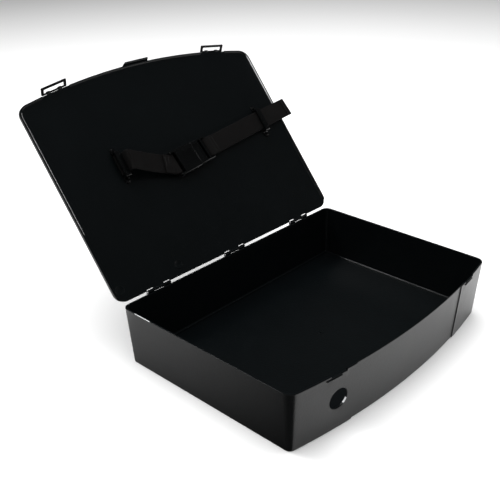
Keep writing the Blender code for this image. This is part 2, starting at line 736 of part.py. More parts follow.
def make_socket(material, swing):
    """The hollow half: a strap bar, then a flat box open towards the plug, windowed each side."""
    matrix = buckle_frame()
    half = BUCKLE_WIDTH / 2
    low, high = FIT_GAP, FIT_GAP + BUCKLE_THICK
    back, mouth = SOCKET_SPAN
    bm = bmesh.new()
    add_box(bm, (back, -half, low), (mouth, half, high))
    bmesh.ops.bevel(bm, geom=list(bm.edges), offset=BUCKLE_ROUND, segments=2, profile=0.5,
                    affect="EDGES")
    socket = finish_object("buckle_socket", bm, PARTS, material, swing, matrix)
    bm = bmesh.new()
    slot = back + BUCKLE_BAR
    strap_gap(bm, slot, half, low, high)
    add_box(bm, (slot + BUCKLE_SLOT + CAVITY_BACK_WALL, -CAVITY_HALF, CAVITY_RISE[0]),
            (mouth + PAST, CAVITY_HALF, CAVITY_RISE[1]))
    cavity = finish_object("cut_socket_cavity", bm, CUTTERS, None, swing, matrix)
    bm = bmesh.new()
    for side in (-1, 1):
        middle = side * half
        add_box(bm, (WINDOW_SPAN[0], middle - 2 * PAST, CAVITY_RISE[0] + FIT_GAP),
                (WINDOW_SPAN[1], middle + 2 * PAST, CAVITY_RISE[1] - FIT_GAP))
    windows = finish_object("cut_socket_windows", bm, CUTTERS, None, swing, matrix)
    boolean(socket, cavity, "DIFFERENCE")
    boolean(socket, windows, "DIFFERENCE")


def make_plug(material, slider):
    """The pronged half: a two-slot strap adjuster, a middle tongue and two barbed arms."""
    matrix = buckle_frame()
    half = BUCKLE_WIDTH / 2 - PLUG_INSET
    low, high = FIT_GAP + PLUG_THINNER, FIT_GAP + BUCKLE_THICK - PLUG_THINNER
    front, back = PLUG_SPAN
    bm = bmesh.new()
    add_box(bm, (front, -half, low), (back, half, high))
    bmesh.ops.bevel(bm, geom=list(bm.edges), offset=BUCKLE_ROUND, segments=2, profile=0.5,
                    affect="EDGES")
    plug = finish_object("buckle_plug", bm, PARTS, material, slider, matrix)
    bm = bmesh.new()
    for number in (1, 2):
        strap_gap(bm, back - number * (BUCKLE_BAR + BUCKLE_SLOT), half, low, high)
    slots = finish_object("cut_plug_slots", bm, CUTTERS, None, slider, matrix)
    prong_low, prong_high = CAVITY_RISE[0] + PLUG_THINNER, CAVITY_RISE[1] - PLUG_THINNER
    tip, root = front - PRONG_REACH, front + PRONG_ROOT
    reach = CAVITY_HALF - FIT_GAP
    barb_tip, barb_heel = (tip + step for step in BARB_SPAN)
    bm = bmesh.new()
    add_box(bm, (tip + PRONG_ROOT, -TONGUE_HALF, prong_low), (root, TONGUE_HALF, prong_high))
    for side in (-1, 1):
        arm = [(root, 0.55 * reach), (root, 0.75 * reach), (barb_heel, 0.78 * reach),
               (barb_heel, reach), (barb_tip, reach), (tip, 0.69 * reach), (tip, 0.55 * reach),
               (barb_tip, 0.62 * reach)]
        face = bm.faces.new([bm.verts.new((x, side * w, prong_low)) for x, w in arm])
        raised = bmesh.ops.extrude_face_region(bm, geom=[face], use_keep_orig=True)["geom"]
        bmesh.ops.translate(bm, vec=(0, 0, prong_high - prong_low),
                            verts=[g for g in raised if isinstance(g, bmesh.types.BMVert)])
    prongs = finish_object("add_plug_prongs", bm, CUTTERS, None, slider, matrix)
    boolean(plug, slots, "DIFFERENCE")
    boolean(plug, prongs, "UNION")


def make_empty(name, matrix, parent=None):
    empty = bpy.data.objects.new(name, None)
    empty.empty_display_size = HINGE_WIDTH
    PARTS.objects.link(empty)
    empty.parent = parent
    empty.matrix_local = matrix
    return empty


def build():
    black = make_material("black_moulding", (0.012, 0.012, 0.013), 0.32)
    latch_black = make_material("black_latch_moulding", (0.012, 0.012, 0.013), 0.38)
    fitting_black = make_material("black_fitting_moulding", (0.014, 0.014, 0.014), 0.30)
    webbing = make_material("black_webbing", (0.020, 0.019, 0.018), 0.75)
    steel = make_material("hinge_steel", (0.45, 0.45, 0.46), 0.35, 1.0)
    open_swing = Matrix.Translation((0, HINGE_Y, HINGE_Z)) @ Matrix.Rotation(-LID_OPEN, 4, "X")
    swing = make_empty("lid_hinge_axis", open_swing)
    slider = make_empty("strap_slide_axis", Matrix.Identity(4), swing)
    make_tray(black)
    make_hinge_pins(steel)
    make_lid(black, swing)
    for side, x in zip(LATCH_NAMES, LATCH_X):
        make_latch_loop(f"latch_loop_{side}", x, latch_black, swing)
    make_anchor("strap_anchor_left", ANCHOR_LEFT, fitting_black, swing)
    make_anchor("strap_anchor_right", ANCHOR_RIGHT, fitting_black, swing)
    make_rivets(fitting_black, swing)
    make_short_strap(webbing, swing)
    make_socket(fitting_black, swing)
    make_plug(fitting_black, slider)
    make_long_strap(webbing, slider)
    make_strap_tail(webbing, slider)


build()
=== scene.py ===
"""Looks of a slim hinged-lid plastic case with a buckled retaining strap inside its open lid.

Lengths are metres in the case's own frame: origin at the centre of the underside, +X along the hinge
to the right, +Y from the bowed front to the hinge, +Z up. Pieces on the lid are laid out on the closed
case and swung open with it.
"""

import json
import math

import bmesh
import bpy
from mathutils import Matrix, Vector


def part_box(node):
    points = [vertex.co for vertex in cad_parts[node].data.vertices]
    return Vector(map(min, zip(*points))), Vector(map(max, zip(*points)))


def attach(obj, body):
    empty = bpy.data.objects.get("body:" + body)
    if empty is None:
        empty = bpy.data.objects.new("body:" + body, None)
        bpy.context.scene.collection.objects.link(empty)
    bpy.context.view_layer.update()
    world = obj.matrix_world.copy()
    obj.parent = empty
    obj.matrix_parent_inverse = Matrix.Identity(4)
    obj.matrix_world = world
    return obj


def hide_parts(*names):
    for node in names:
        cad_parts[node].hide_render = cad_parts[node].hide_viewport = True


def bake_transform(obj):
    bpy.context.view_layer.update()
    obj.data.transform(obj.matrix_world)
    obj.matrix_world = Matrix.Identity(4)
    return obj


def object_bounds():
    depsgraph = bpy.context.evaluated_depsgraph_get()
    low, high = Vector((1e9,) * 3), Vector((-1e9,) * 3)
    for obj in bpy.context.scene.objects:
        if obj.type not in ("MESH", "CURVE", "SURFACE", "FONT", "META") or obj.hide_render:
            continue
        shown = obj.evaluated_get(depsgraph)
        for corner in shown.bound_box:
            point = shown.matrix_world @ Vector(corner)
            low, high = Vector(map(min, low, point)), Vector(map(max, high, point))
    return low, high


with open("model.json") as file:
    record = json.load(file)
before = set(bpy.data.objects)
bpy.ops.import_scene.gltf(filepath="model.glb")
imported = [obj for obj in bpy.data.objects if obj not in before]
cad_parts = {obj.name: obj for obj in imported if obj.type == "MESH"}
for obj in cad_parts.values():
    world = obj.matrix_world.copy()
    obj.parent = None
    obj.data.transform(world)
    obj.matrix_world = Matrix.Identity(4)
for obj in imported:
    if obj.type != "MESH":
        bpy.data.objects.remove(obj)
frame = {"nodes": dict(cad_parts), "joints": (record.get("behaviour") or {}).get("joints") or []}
solid_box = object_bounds()


# ---- Studio: camera, floor and soft boxes ----
# The case stands on a seamless white sheet under a wide, even overhead light. Small soft boxes draw bright
# lines along rims and coves; the pale lines on the lid's lip, a stretch of the tray's left rim and the finger
# hole's edge are painted highlights. A black card, seen only in reflections, holds the left wall dark:
# painted shade standing in for the shaded floor beside the case.
eye = Vector((-0.62673, -0.48469, 0.51425))
eye_azimuth, eye_elevation, eye_roll = (math.radians(a) for a in (46.7065, 26.7685, -0.9112))

camera = bpy.data.objects.new("camera", bpy.data.cameras.new("camera"))
bpy.context.scene.collection.objects.link(camera)
camera.data.sensor_width = 36
camera.data.lens = 57.205
ahead = Vector((math.sin(eye_azimuth) * math.cos(eye_elevation),
                math.cos(eye_azimuth) * math.cos(eye_elevation), -math.sin(eye_elevation)))
level = Vector((math.cos(eye_azimuth), -math.sin(eye_azimuth), 0))
upright = level.cross(ahead)
right = math.cos(eye_roll) * level + math.sin(eye_roll) * upright
top = math.cos(eye_roll) * upright - math.sin(eye_roll) * level
camera.matrix_world = Matrix.Translation(eye) @ Matrix((right, top, -ahead)).transposed().to_4x4()
bpy.context.scene.camera = camera
bpy.context.scene.view_settings.view_transform = "Standard"


class Wire:
    """One shader value. Sums written with it add the Math nodes they need."""

    def __init__(self, finish, socket):
        self.finish = finish
        self.socket = socket

    def math(self, operation, *values):
        return self.finish.node("Math", {"operation": operation}, dict(enumerate(values)))

    def __add__(self, other):
        return self.math("ADD", self, other)

    def __mul__(self, other):
        return self.math("MULTIPLY", self, other)

    __radd__ = __add__
    __rmul__ = __mul__

    def sine(self):
        return self.math("SINE", self)

    def size(self):
        return self.math("ABSOLUTE", self)

    def floor(self):
        return self.math("FLOOR", self)

    def above(self, edge, softness):
        """0 below edge and 1 above it, over a soft step."""
        return self.finish.node("MapRange", {"interpolation_type": "SMOOTHSTEP"},
                                {0: self, 1: edge - softness, 2: edge + softness})


class Finish:
    """A material: its Principled shader and the nodes that feed it."""

    def __init__(self, name, uniform):
        self.material = bpy.data.materials.new(name)
        self.material.use_nodes = True
        self.tree = self.material.node_tree
        self.shader = self.tree.nodes["Principled BSDF"]
        self.feed(self.shader, uniform)

    def feed(self, node, sockets):
        for key, value in sockets.items():
            if isinstance(value, Wire):
                self.tree.links.new(value.socket, node.inputs[key])
            else:
                node.inputs[key].default_value = value

    def node(self, kind, settings, sockets, output=0):
        made = self.tree.nodes.new("ShaderNode" + kind)
        for key, value in settings.items():
            setattr(made, key, value)
        self.feed(made, sockets)
        return Wire(self, made.outputs[output])

    def place(self):
        """Where a point is on its own piece, in metres."""
        return self.node("TexCoord", {}, {}, "Object")

    def noise(self, scale, detail=2.0, roughness=0.5, place=None):
        spot = place or self.place()
        return self.node("TexNoise", {}, {"Vector": spot, "Scale": scale, "Detail": detail,
                                          "Roughness": roughness})

    def mix(self, share, low, high):
        """A colour between two others."""
        return self.node("Mix", {"data_type": "RGBA"}, {0: share, 6: (*low, 1), 7: (*high, 1)}, 2)

    def bump(self, height, distance):
        return self.node("Bump", {}, {"Height": height, "Distance": distance})

    def part(self, vector, axis):
        """One of a vector's three numbers."""
        return self.node("SeparateXYZ", {}, {0: vector}, axis)


def sheet_paper():
    finish = Finish("studio_sheet", {"Roughness": 0.9, "Specular IOR Level": 0.1})
    cloud = finish.noise(1.5)
    finish.feed(finish.shader, {"Base Color": finish.mix(cloud, (0.86, 0.86, 0.86), (0.89, 0.89, 0.89))})
    return finish.material


def laid_flat(name, material, half_side, below, middle=(0, 0)):
    """A square of paper or card, a hair below the case's underside."""
    bm = bmesh.new()
    bmesh.ops.create_grid(bm, x_segments=8, y_segments=8, size=half_side)
    bmesh.ops.translate(bm, vec=(*middle, 0), verts=bm.verts)
    mesh = bpy.data.meshes.new(name)
    bm.to_mesh(mesh)
    bm.free()
    mesh.materials.append(material)
    laid = bpy.data.objects.new(name, mesh)
    laid.location.z = solid_box[0].z - below
    bpy.context.scene.collection.objects.link(laid)
    return laid


laid_flat("studio_floor", sheet_paper(), 7.0, 0.0002)


def soft_box(name, place, aim, size, watts, mirrored=True):
    lamp = bpy.data.lights.new(name, "AREA")
    lamp.shape = "RECTANGLE"
    lamp.size, lamp.size_y = size
    lamp.energy = watts
    holder = bpy.data.objects.new(name, lamp)
    holder.visible_glossy = mirrored
    holder.location = place
    holder.rotation_euler = (Vector(aim) - Vector(place)).to_track_quat("-Z", "Y").to_euler()
    bpy.context.scene.collection.objects.link(holder)


soft_box("overhead_light", (0.10, 0.20, 1.9), (0.05, 0.0, 0.0), (2.8, 2.8), 100, mirrored=False)
soft_box("front_right_box", (1.6, -1.0, 0.10), (0.1, 0.0, 0.05), (0.9, 0.20), 1.5)
soft_box("back_box", (-0.55, 1.00, 1.45), (0.0, 0.0, 0.05), (0.45, 0.45), 8)
soft_box("left_box", (-1.60, -1.00, 1.05), (0.0, 0.15, 0.15), (0.35, 0.35), 3)


def reflected_shade_card():
    """Painted shade, seen only in reflections: dark at the front, paling towards the back, for the shaded
    floor left of the case.
    """
    finish = Finish("painted_shade_card", {"Roughness": 1.0, "Specular IOR Level": 0.0})
    paling = finish.part(finish.place(), 1).above(0.10, 0.28)
    finish.feed(finish.shader, {"Base Color": finish.mix(paling, (0.02, 0.02, 0.02), (0.75, 0.75, 0.75))})
    return finish.material


# Shown only to glossy rays, the card puts painted shade into the left wall's reflection.
card = laid_flat("painted_shade_card", reflected_shade_card(), 0.5, 0.0001, (-0.672, -0.30))
card.visible_camera = False
card.visible_diffuse = False
card.visible_shadow = False
card.visible_transmission = False

world = bpy.data.worlds.new("studio_air")
world.use_nodes = True
world.node_tree.nodes["Background"].inputs["Color"].default_value = (1, 1, 1, 1)
world.node_tree.nodes["Background"].inputs["Strength"].default_value = 0.045
bpy.context.scene.world = world


# ---- Tray ----
# One black polypropylene moulding: drafted walls, a bowed front with a recessed label panel and a round
# finger hole, and a floor held off the shelf by a foot rim, crossed ribs and a round centre pad.
_, tray_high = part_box("base_tray")
joints = {joint["name"]: joint for joint in frame["joints"]}
hinge_line = Vector(joints["lid_hinge"]["pos_m"])
pin_behind_wall, pin_above_rim = 0.00127, 0.00141
half_width = tray_high.x
back = hinge_line.y - pin_behind_wall
rim_height = hinge_line.z - pin_above_rim
bow_depth = 0.019
bow_radius = (half_width ** 2 + bow_depth ** 2) / (2 * bow_depth)
bow_centre = bow_radius - back
wall = 0.0022
draft = 0.0051
back_radius, front_radius = 0.009, 0.012
floor_under, floor_top = 0.0043, 0.0065
cove = 0.0025
foot_rim, foot_round = 0.0032, 0.0010
panel_x, panel_depth = (-0.095, 0.105), 0.0010
notches_x, notch_depth = ((-0.130, -0.109), (0.116, 0.139)), 0.0020
hole_x, hole_z, hole_radius = -0.117, 0.038, 0.012
edge_round = 0.0005


def steps_between(low, high, count):
    return [low + (high - low) * i / count for i in range(count + 1)]


def edge_steps(spans, low, high, spacing):
    """Even steps from low to high, with a close pair at each edge of the spans."""
    hair = 0.00008
    edges = [edge for span in spans for edge in span if low < edge < high]
    even = steps_between(low, high, round((high - low) / spacing))
    kept = [x for x in even if all(abs(x - edge) > 4 * hair for edge in edges)]
    return sorted(kept + [edge + side * hair for edge in edges for side in (-1, 1)])


def within(x, spans):
    return any(low < x < high for low, high in spans)


def case_plan(out, back_line, corner, bow_spans, back_spans):
    """The plan anticlockwise from the front left: each point with its outward direction."""
    half, bow, r_front = half_width + out, bow_radius + out, front_radius + out
    x_front = half - r_front
    y_front = bow_centre - math.sqrt((bow - r_front) ** 2 - x_front ** 2)
    tangent = math.degrees(math.atan2(y_front - bow_centre, x_front))
    x_bow = bow * math.cos(math.radians(tangent))
    plan = []

    def turn(x, y, radius, start, end):
        for angle in steps_between(math.radians(start), math.radians(end), 9):
            way = Vector((math.cos(angle), math.sin(angle)))
            plan.append((Vector((x, y)) + way * radius, way))

    for x in edge_steps(bow_spans, -x_bow, x_bow, 0.005)[1:-1]:
        y = -math.sqrt(bow ** 2 - x ** 2)
        plan.append((Vector((x, y + bow_centre)), Vector((x, y)) / bow))
    turn(x_front, y_front, r_front, tangent, 0)
    for y in edge_steps((), y_front, back_line - corner, 0.012)[1:-1]:
        plan.append((Vector((half, y)), Vector((1, 0))))
    turn(half - corner, back_line - corner, corner, 0, 90)
    for x in reversed(edge_steps(back_spans, corner - half, half - corner, 0.012)[1:-1]):
        plan.append((Vector((x, back_line)), Vector((0, 1))))
    turn(corner - half, back_line - corner, corner, 90, 180)
    for y in reversed(edge_steps((), y_front, back_line - corner, 0.012)[1:-1]):
        plan.append((Vector((-half, y)), Vector((-1, 0))))
    turn(-x_front, y_front, r_front, 180, 180 - tangent)
    return plan


def quarter(out, height, radius, start, end, count=4):
    """(out, height) pairs round a small radius, angles in degrees from straight out."""
    return [(out + radius * math.cos(a), height + radius * math.sin(a))
            for a in steps_between(math.radians(start), math.radians(end), count)]


def loft(bm, rings, closed=False):
    """Skins rows of points with equal counts, then caps both ends or joins the last row to the first."""
    rows = [[bm.verts.new(point) for point in ring] for ring in rings]
    pairs = list(zip(rows, rows[1:])) + ([(rows[-1], rows[0])] if closed else [])
    for low, high in pairs:
        for i in range(len(low)):
            bm.faces.new((low[i - 1], low[i], high[i], high[i - 1]))
    if not closed:
        bm.faces.new(rows[0])
        bm.faces.new(rows[-1])


def turned(bm, profile, count, place=Matrix.Identity(4)):
    """Spins (radius, height) pairs about an upright axis, in count steps."""
    angles = steps_between(0, 2 * math.pi, count)[:-1]
    loft(bm, [[place @ Vector((r * math.cos(a), r * math.sin(a), h)) for a in angles] for r, h in profile])


def finished(name, bm, material, body, matrix=None, sharp=32):
    """Makes the mesh a piece of the case that moves with a body."""
    if matrix is not None:
        bmesh.ops.transform(bm, matrix=matrix, verts=bm.verts)
    bmesh.ops.recalc_face_normals(bm, faces=bm.faces)
    mesh = bpy.data.meshes.new(name)
    bm.to_mesh(mesh)
    bm.free()
    mesh.shade_smooth()
    mesh.set_sharp_from_angle(angle=math.radians(sharp))
    if material:
        mesh.materials.append(material)
    piece = bpy.data.objects.new(name, mesh)
    bpy.context.scene.collection.objects.link(piece)
    if body:
        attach(piece, body)
    return piece


def cut(piece, cutter):
    """Cuts the cutter's shape out of the piece for good."""
    modifier = piece.modifiers.new("cut", "BOOLEAN")
    modifier.operation = "DIFFERENCE"
    modifier.object = cutter
    modifier.solver = "EXACT"
    done = bpy.data.meshes.new_from_object(piece.evaluated_get(bpy.context.evaluated_depsgraph_get()))
    piece.modifiers.remove(modifier)
    piece.data = done
    bpy.data.objects.remove(cutter)


def moulding(name, colour, roughness, grain, grain_depth, gloss=0.4):
    """Moulded black plastic: faint flow marks, rubbed patches, a fine spark-eroded grain and dust."""
    finish = Finish(name, {"IOR": 1.49, "Specular IOR Level": gloss})
    flow = finish.noise(9, detail=4, roughness=0.6)
    rubbed = finish.noise(38, detail=5, roughness=0.62).above(0.57, 0.12)
    specks = finish.noise(900, detail=1).above(0.74, 0.03)
    tone = flow * 0.6 + rubbed * 0.1 + specks * 0.4
    dark, pale = tuple(c * 0.8 for c in colour), tuple(c * 1.5 for c in colour)
    fine = finish.noise(grain, detail=3, roughness=0.6)
    pebble = finish.noise(0.4 * grain, detail=1)
    pebble_depth = 14 * grain_depth
    finish.feed(finish.shader, {
        "Base Color": finish.mix(tone, dark, pale),
        "Roughness": roughness + flow * 0.03 + rubbed * 0.02 + pebble * 0.05 + specks * 0.15,
        "Normal": finish.bump(fine * grain_depth + pebble * pebble_depth, 1.0)})
    return finish.material


case_black = moulding("case_black_moulding", (0.0015, 0.0021, 0.0024), 0.26, 1400, 0.000012)


def painted_highlight_finish():
    """Painted highlight: a pale, smooth finish on the narrow edges of the lip, the rim and the finger hole,
    its pale colour standing in for their glints.
    """
    finish = Finish("painted_highlight_edge", {"IOR": 1.49})
    # Noise breaks the painted highlight into pale patches along the edge.
    highlight_breaks = finish.noise(16, detail=3).above(0.36, 0.16)
    scratch = finish.noise(1300, detail=2)
    finish.feed(finish.shader, {"Base Color": finish.mix(highlight_breaks, (0.03, 0.031, 0.032), (0.62, 0.63, 0.64)),
                                "Roughness": 0.18 + scratch * 0.2,
                                "Normal": finish.bump(scratch, 0.00001)})
    return finish.material


painted_edge_highlight = painted_highlight_finish()


def drafted(height):
    return -draft * (rim_height - height) / rim_height


def tray_ring(plan, out, height, outer):
    """One row round the tray. Outer rows step in at the label panel, rim rows dip at the notches."""
    row = []
    for spot, way in plan:
        bow = way.y < -0.9
        inset = panel_depth if outer and bow and within(spot.x, (panel_x,)) else 0.0
        at_rim = height > rim_height - 4 * edge_round
        dip = notch_depth if bow and at_rim and within(spot.x, notches_x) else 0.0
        row.append((*(spot + way * (out - inset)), height - dip))
    return row


def tray_shell():
    plan = case_plan(0.0, back, back_radius, (panel_x, *notches_x), ())
    levels = steps_between(0.006, rim_height - 0.005, 8)
    inner_foot, under_edge = -draft - foot_rim, drafted(floor_under) - foot_rim
    outside = [(under_edge - 0.001, floor_under), (under_edge, floor_under), (inner_foot, 2 * edge_round)]
    outside += quarter(inner_foot + edge_round, edge_round, edge_round, 180, 270)
    outside += quarter(-draft - foot_round, foot_round, foot_round, 270, 360)
    outside += [(drafted(z), z) for z in [2 * foot_round] + levels + [rim_height - 3 * edge_round]]
    outside += quarter(-edge_round, rim_height - edge_round, edge_round, 0, 90)
    inside = quarter(edge_round - wall, rim_height - edge_round, edge_round, 90, 180)
    inside += [(drafted(z) - wall, z) for z in [rim_height - 3 * edge_round] + levels[:0:-1]]
    low_wall = drafted(floor_top + cove) - wall
    inside += [(low_wall, floor_top + 1.4 * cove)]
    inside += quarter(low_wall - cove, floor_top + cove, cove, 0, -90, 6)
    inside += [(low_wall - 1.4 * cove, floor_top)]
    bm = bmesh.new()
    loft(bm, [tray_ring(plan, out, z, True) for out, z in outside]
         + [tray_ring(plan, out, z, False) for out, z in inside])
    # A stretch of the left rim's top takes the pale finish: a painted highlight, not a reflection.
    painted_glint_y = (0.082, 0.112)
    for face in bm.faces:
        x, y, z = face.calc_center_median()
        if z > rim_height - 2 * edge_round and x < edge_round - half_width and within(y, (painted_glint_y,)):
            face.material_index = 1
    piece = finished("tray_shell", bm, case_black, "tray")
    piece.data.materials.append(painted_edge_highlight)
    return piece


def finger_hole_cutter():
    """A spool, so that the hole's two edges come out rounded."""
    y_mid = bow_centre - math.sqrt((bow_radius - 0.5 * wall + drafted(hole_z)) ** 2 - hole_x ** 2)
    turn = Matrix.Rotation(math.asin(hole_x / bow_radius), 4, "Z")
    lean = Matrix.Rotation(math.pi / 2 + math.atan(draft / rim_height), 4, "X")
    place = Matrix.Translation((hole_x, y_mid, hole_z)) @ turn @ lean
    flare, face = 0.0007, wall / 2
    profile = [(hole_radius + flare, face + 2 * flare)]
    profile += [(hole_radius + flare - flare * math.sin(a), face - flare + flare * math.cos(a))
                for a in steps_between(0, math.pi / 2, 4)]
    profile += [(r, -h) for r, h in reversed(profile)]
    bm = bmesh.new()
    turned(bm, profile, 72)
    return finished("finger_hole_cutter", bm, None, None, place)


def paint_finger_hole_highlight(piece):
    """Paints a highlight on the low right stretch of the hole's rounded edge: those faces take the pale
    finish.
    """
    small, edge_band, stretch = 0.000001, 0.0012, (-0.75, -0.35)
    for face in piece.data.polygons:
        x, z = face.center.x - hole_x, face.center.z - hole_z
        on_edge = face.area < small and abs(math.hypot(x, z) - hole_radius) < edge_band
        if on_edge and face.center.y < 0 < x and within(z / hole_radius, (stretch,)):
            face.material_index = 1


shell = tray_shell()
cut(shell, finger_hole_cutter())
shell.data.set_sharp_from_angle(angle=math.radians(32))
paint_finger_hole_highlight(shell)
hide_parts("base_tray")


def block(bm, low, high):
    """A box from corner to corner, added to the mesh."""
    made = bmesh.ops.create_cube(bm, size=1.0)["verts"]
    place = Matrix.Translation((Vector(low) + Vector(high)) / 2)
    place = place @ Matrix.Diagonal((*(Vector(high) - Vector(low)), 1))
    bmesh.ops.transform(bm, matrix=place, verts=made)
    return made


def rounded_block(bm, low, high, radius, matrix=None, segments=3):
    """A box with all its edges rounded, added to the mesh."""
    edges = list(dict.fromkeys(edge for vert in block(bm, low, high) for edge in vert.link_edges))
    rounded = bmesh.ops.bevel(bm, geom=edges, offset=radius, segments=segments, profile=0.5,
                              affect="EDGES")["verts"]
    if matrix is not None:
        bmesh.ops.transform(bm, matrix=matrix, verts=rounded)


def underside_ribs():
    """The crossed ribs and the round pad that carry the floor."""
    rib, pad_radius, ease, sunk = 0.0024, 0.013, 0.0004, 0.0005
    side = half_width - draft - foot_rim + sunk
    depth = back - draft - foot_rim + sunk
    top_z = floor_under + sunk
    bm = bmesh.new()
    rounded_block(bm, (-side, -rib / 2, 0.0), (side, rib / 2, top_z), 0.0003)
    rounded_block(bm, (-rib / 2, -depth, 0.0), (rib / 2, depth, top_z), 0.0003)
    profile = [(pad_radius, top_z), *quarter(pad_radius - ease, ease, ease, 0, -90),
               (pad_radius - 0.003, 0.0)]
    turned(bm, profile, 64)
    piece = finished("tray_underside_ribs", bm, case_black, "tray")


underside_ribs()


def gate_mark():
    """Where the moulding's sprue was twisted off: a shallow ring round a torn stub."""
    bm = bmesh.new()
    turned(bm, [(0.0044, 0.0), (0.0040, 0.00022), (0.0034, 0.00022), (0.0030, 0.00004), (0.0012, 0.00004),
                (0.0010, 0.0006), (0.0006, 0.0008)], 48)
    piece = finished("gate_mark", bm, case_black, "tray", Matrix.Translation((0.0034, -0.0029, floor_top)))


gate_mark()


def tube(bm, outer, bore, x_low, x_high, place):
    """A bored barrel along X, its rims eased."""
    ease = 0.0002
    section = [(x_low, bore), (x_low, outer - ease), (x_low + ease, outer),
               (x_high - ease, outer), (x_high, outer - ease), (x_high, bore)]
    loft(bm, [[place @ Vector((x, r * math.cos(a), r * math.sin(a)))
               for a in steps_between(0, 2 * math.pi, 36)[:-1]] for x, r in section], closed=True)


def bar_along_x(bm, outline, x_low, x_high, place=Matrix.Identity(4)):
    """An outline in YZ carried along X."""
    loft(bm, [[place @ Vector((x, y, z)) for y, z in outline] for x in (x_low, x_high)])


hinge_centres = (-0.1250, -0.0010, 0.1215)
hinge_width, tray_knuckle, knuckle_gap = 0.034, 0.0092, 0.0004
knuckle_radius, pin_bore = 0.0019, 0.0011


def tray_knuckles_x(centre):
    low, high = centre - hinge_width / 2, centre + hinge_width / 2
    return (low, low + tray_knuckle), (high - tray_knuckle, high)


def tray_hinge_barrels():
    """Bored barrels behind the rim, each on a gusset moulded into the back wall."""
    y, z = hinge_line.y, hinge_line.z
    low = rim_height - 0.006
    gusset = [(y - 0.0013, z), (y - 0.0013, rim_height - 0.0003), (back - 0.002, rim_height - 0.0003),
              (back - 0.002, low), (back - 0.0004, low), (y + 0.0019, z - 0.0027), (y + 0.0019, z - 0.0004)]
    bm = bmesh.new()
    for centre in hinge_centres:
        for x_low, x_high in tray_knuckles_x(centre):
            tube(bm, knuckle_radius, pin_bore, x_low, x_high, Matrix.Translation((0, y, z)))
            solid = [(p, min(q, z - 0.0011)) for p, q in gusset]
            bar_along_x(bm, solid, x_low + 0.0001, x_high - 0.0001)
    piece = finished("tray_hinge_barrels", bm, case_black, "tray")


tray_hinge_barrels()

latch_x = {"left": -0.1262, "right": 0.1255}


def catch_ridges():
    """The wedge under each rim notch that a latch loop snaps below."""
    width, proud, height, drop = 0.020, 0.0010, 0.0017, 0.0022
    top_z = rim_height - drop
    inset = -drafted(top_z - height)
    outline = [(wall / 2, top_z), (inset, top_z), (-0.8 * proud, top_z - 0.55 * height),
               (-proud, top_z - 0.75 * height), (-0.8 * proud, top_z - height), (wall / 2, top_z - height)]
    bm = bmesh.new()
    for x in latch_x.values():
        y = bow_centre - math.sqrt(bow_radius ** 2 - x ** 2)
        place = Matrix.Translation((x, y, 0)) @ Matrix.Rotation(math.asin(x / bow_radius), 4, "Z")
        bar_along_x(bm, outline, -width / 2, width / 2, place)
    piece = finished("catch_ridges", bm, case_black, "tray")


catch_ridges()


# ---- Hinge pins ----
# Three straight lengths of drawn steel wire, cut as long as the hinges are wide. Each is pushed through
# the tray's two barrels and the lid's barrel between them, and the lid turns on it.
def drawn_steel():
    finish = Finish("drawn_steel", {"Metallic": 1.0})
    lines = finish.node("Mapping", {}, {"Vector": finish.place(), "Scale": (40, 4000, 4000)})
    drawn = finish.noise(1.0, detail=3, place=lines)
    finish.feed(finish.shader, {"Base Color": finish.mix(drawn, (0.34, 0.34, 0.35), (0.55, 0.55, 0.56)),
                                "Roughness": 0.28 + drawn * 0.2,
                                "Normal": finish.bump(drawn, 0.00001)})
    return finish.material


steel = drawn_steel()
for side in ("left", "centre", "right"):
    pin = frame["nodes"][f"hinge_pin_{side}"]
    for pin_slot in pin.material_slots:
        pin_slot.material = steel


# ---- Lid ----
# A flat black moulding with a short lip round three sides, three hinge barrels at the back, and clips
# and a curled thumb tab at the front. The lip breaks off where the latch loops hang.
opened = Matrix.Rotation(math.radians(joints["lid_hinge"]["range_deg"][0]), 4, "X")
swung = Matrix.Translation(hinge_line) @ opened @ Matrix.Translation(-hinge_line)
lid_skin, lip = 0.0020, 0.0020
overhang, lip_gap, lid_clear = 0.0024, 0.0005, 0.0004
lid_back, lid_corner = back + 0.0003, 0.013
lid_inner = rim_height + lid_clear
lid_bow = bow_radius + overhang
lip_gap_half = 0.0205
relief = 0.0017


def lid_front(x):
    """Y of the lid's bowed edge at x, on the closed case."""
    return bow_centre - math.sqrt(lid_bow ** 2 - x ** 2)


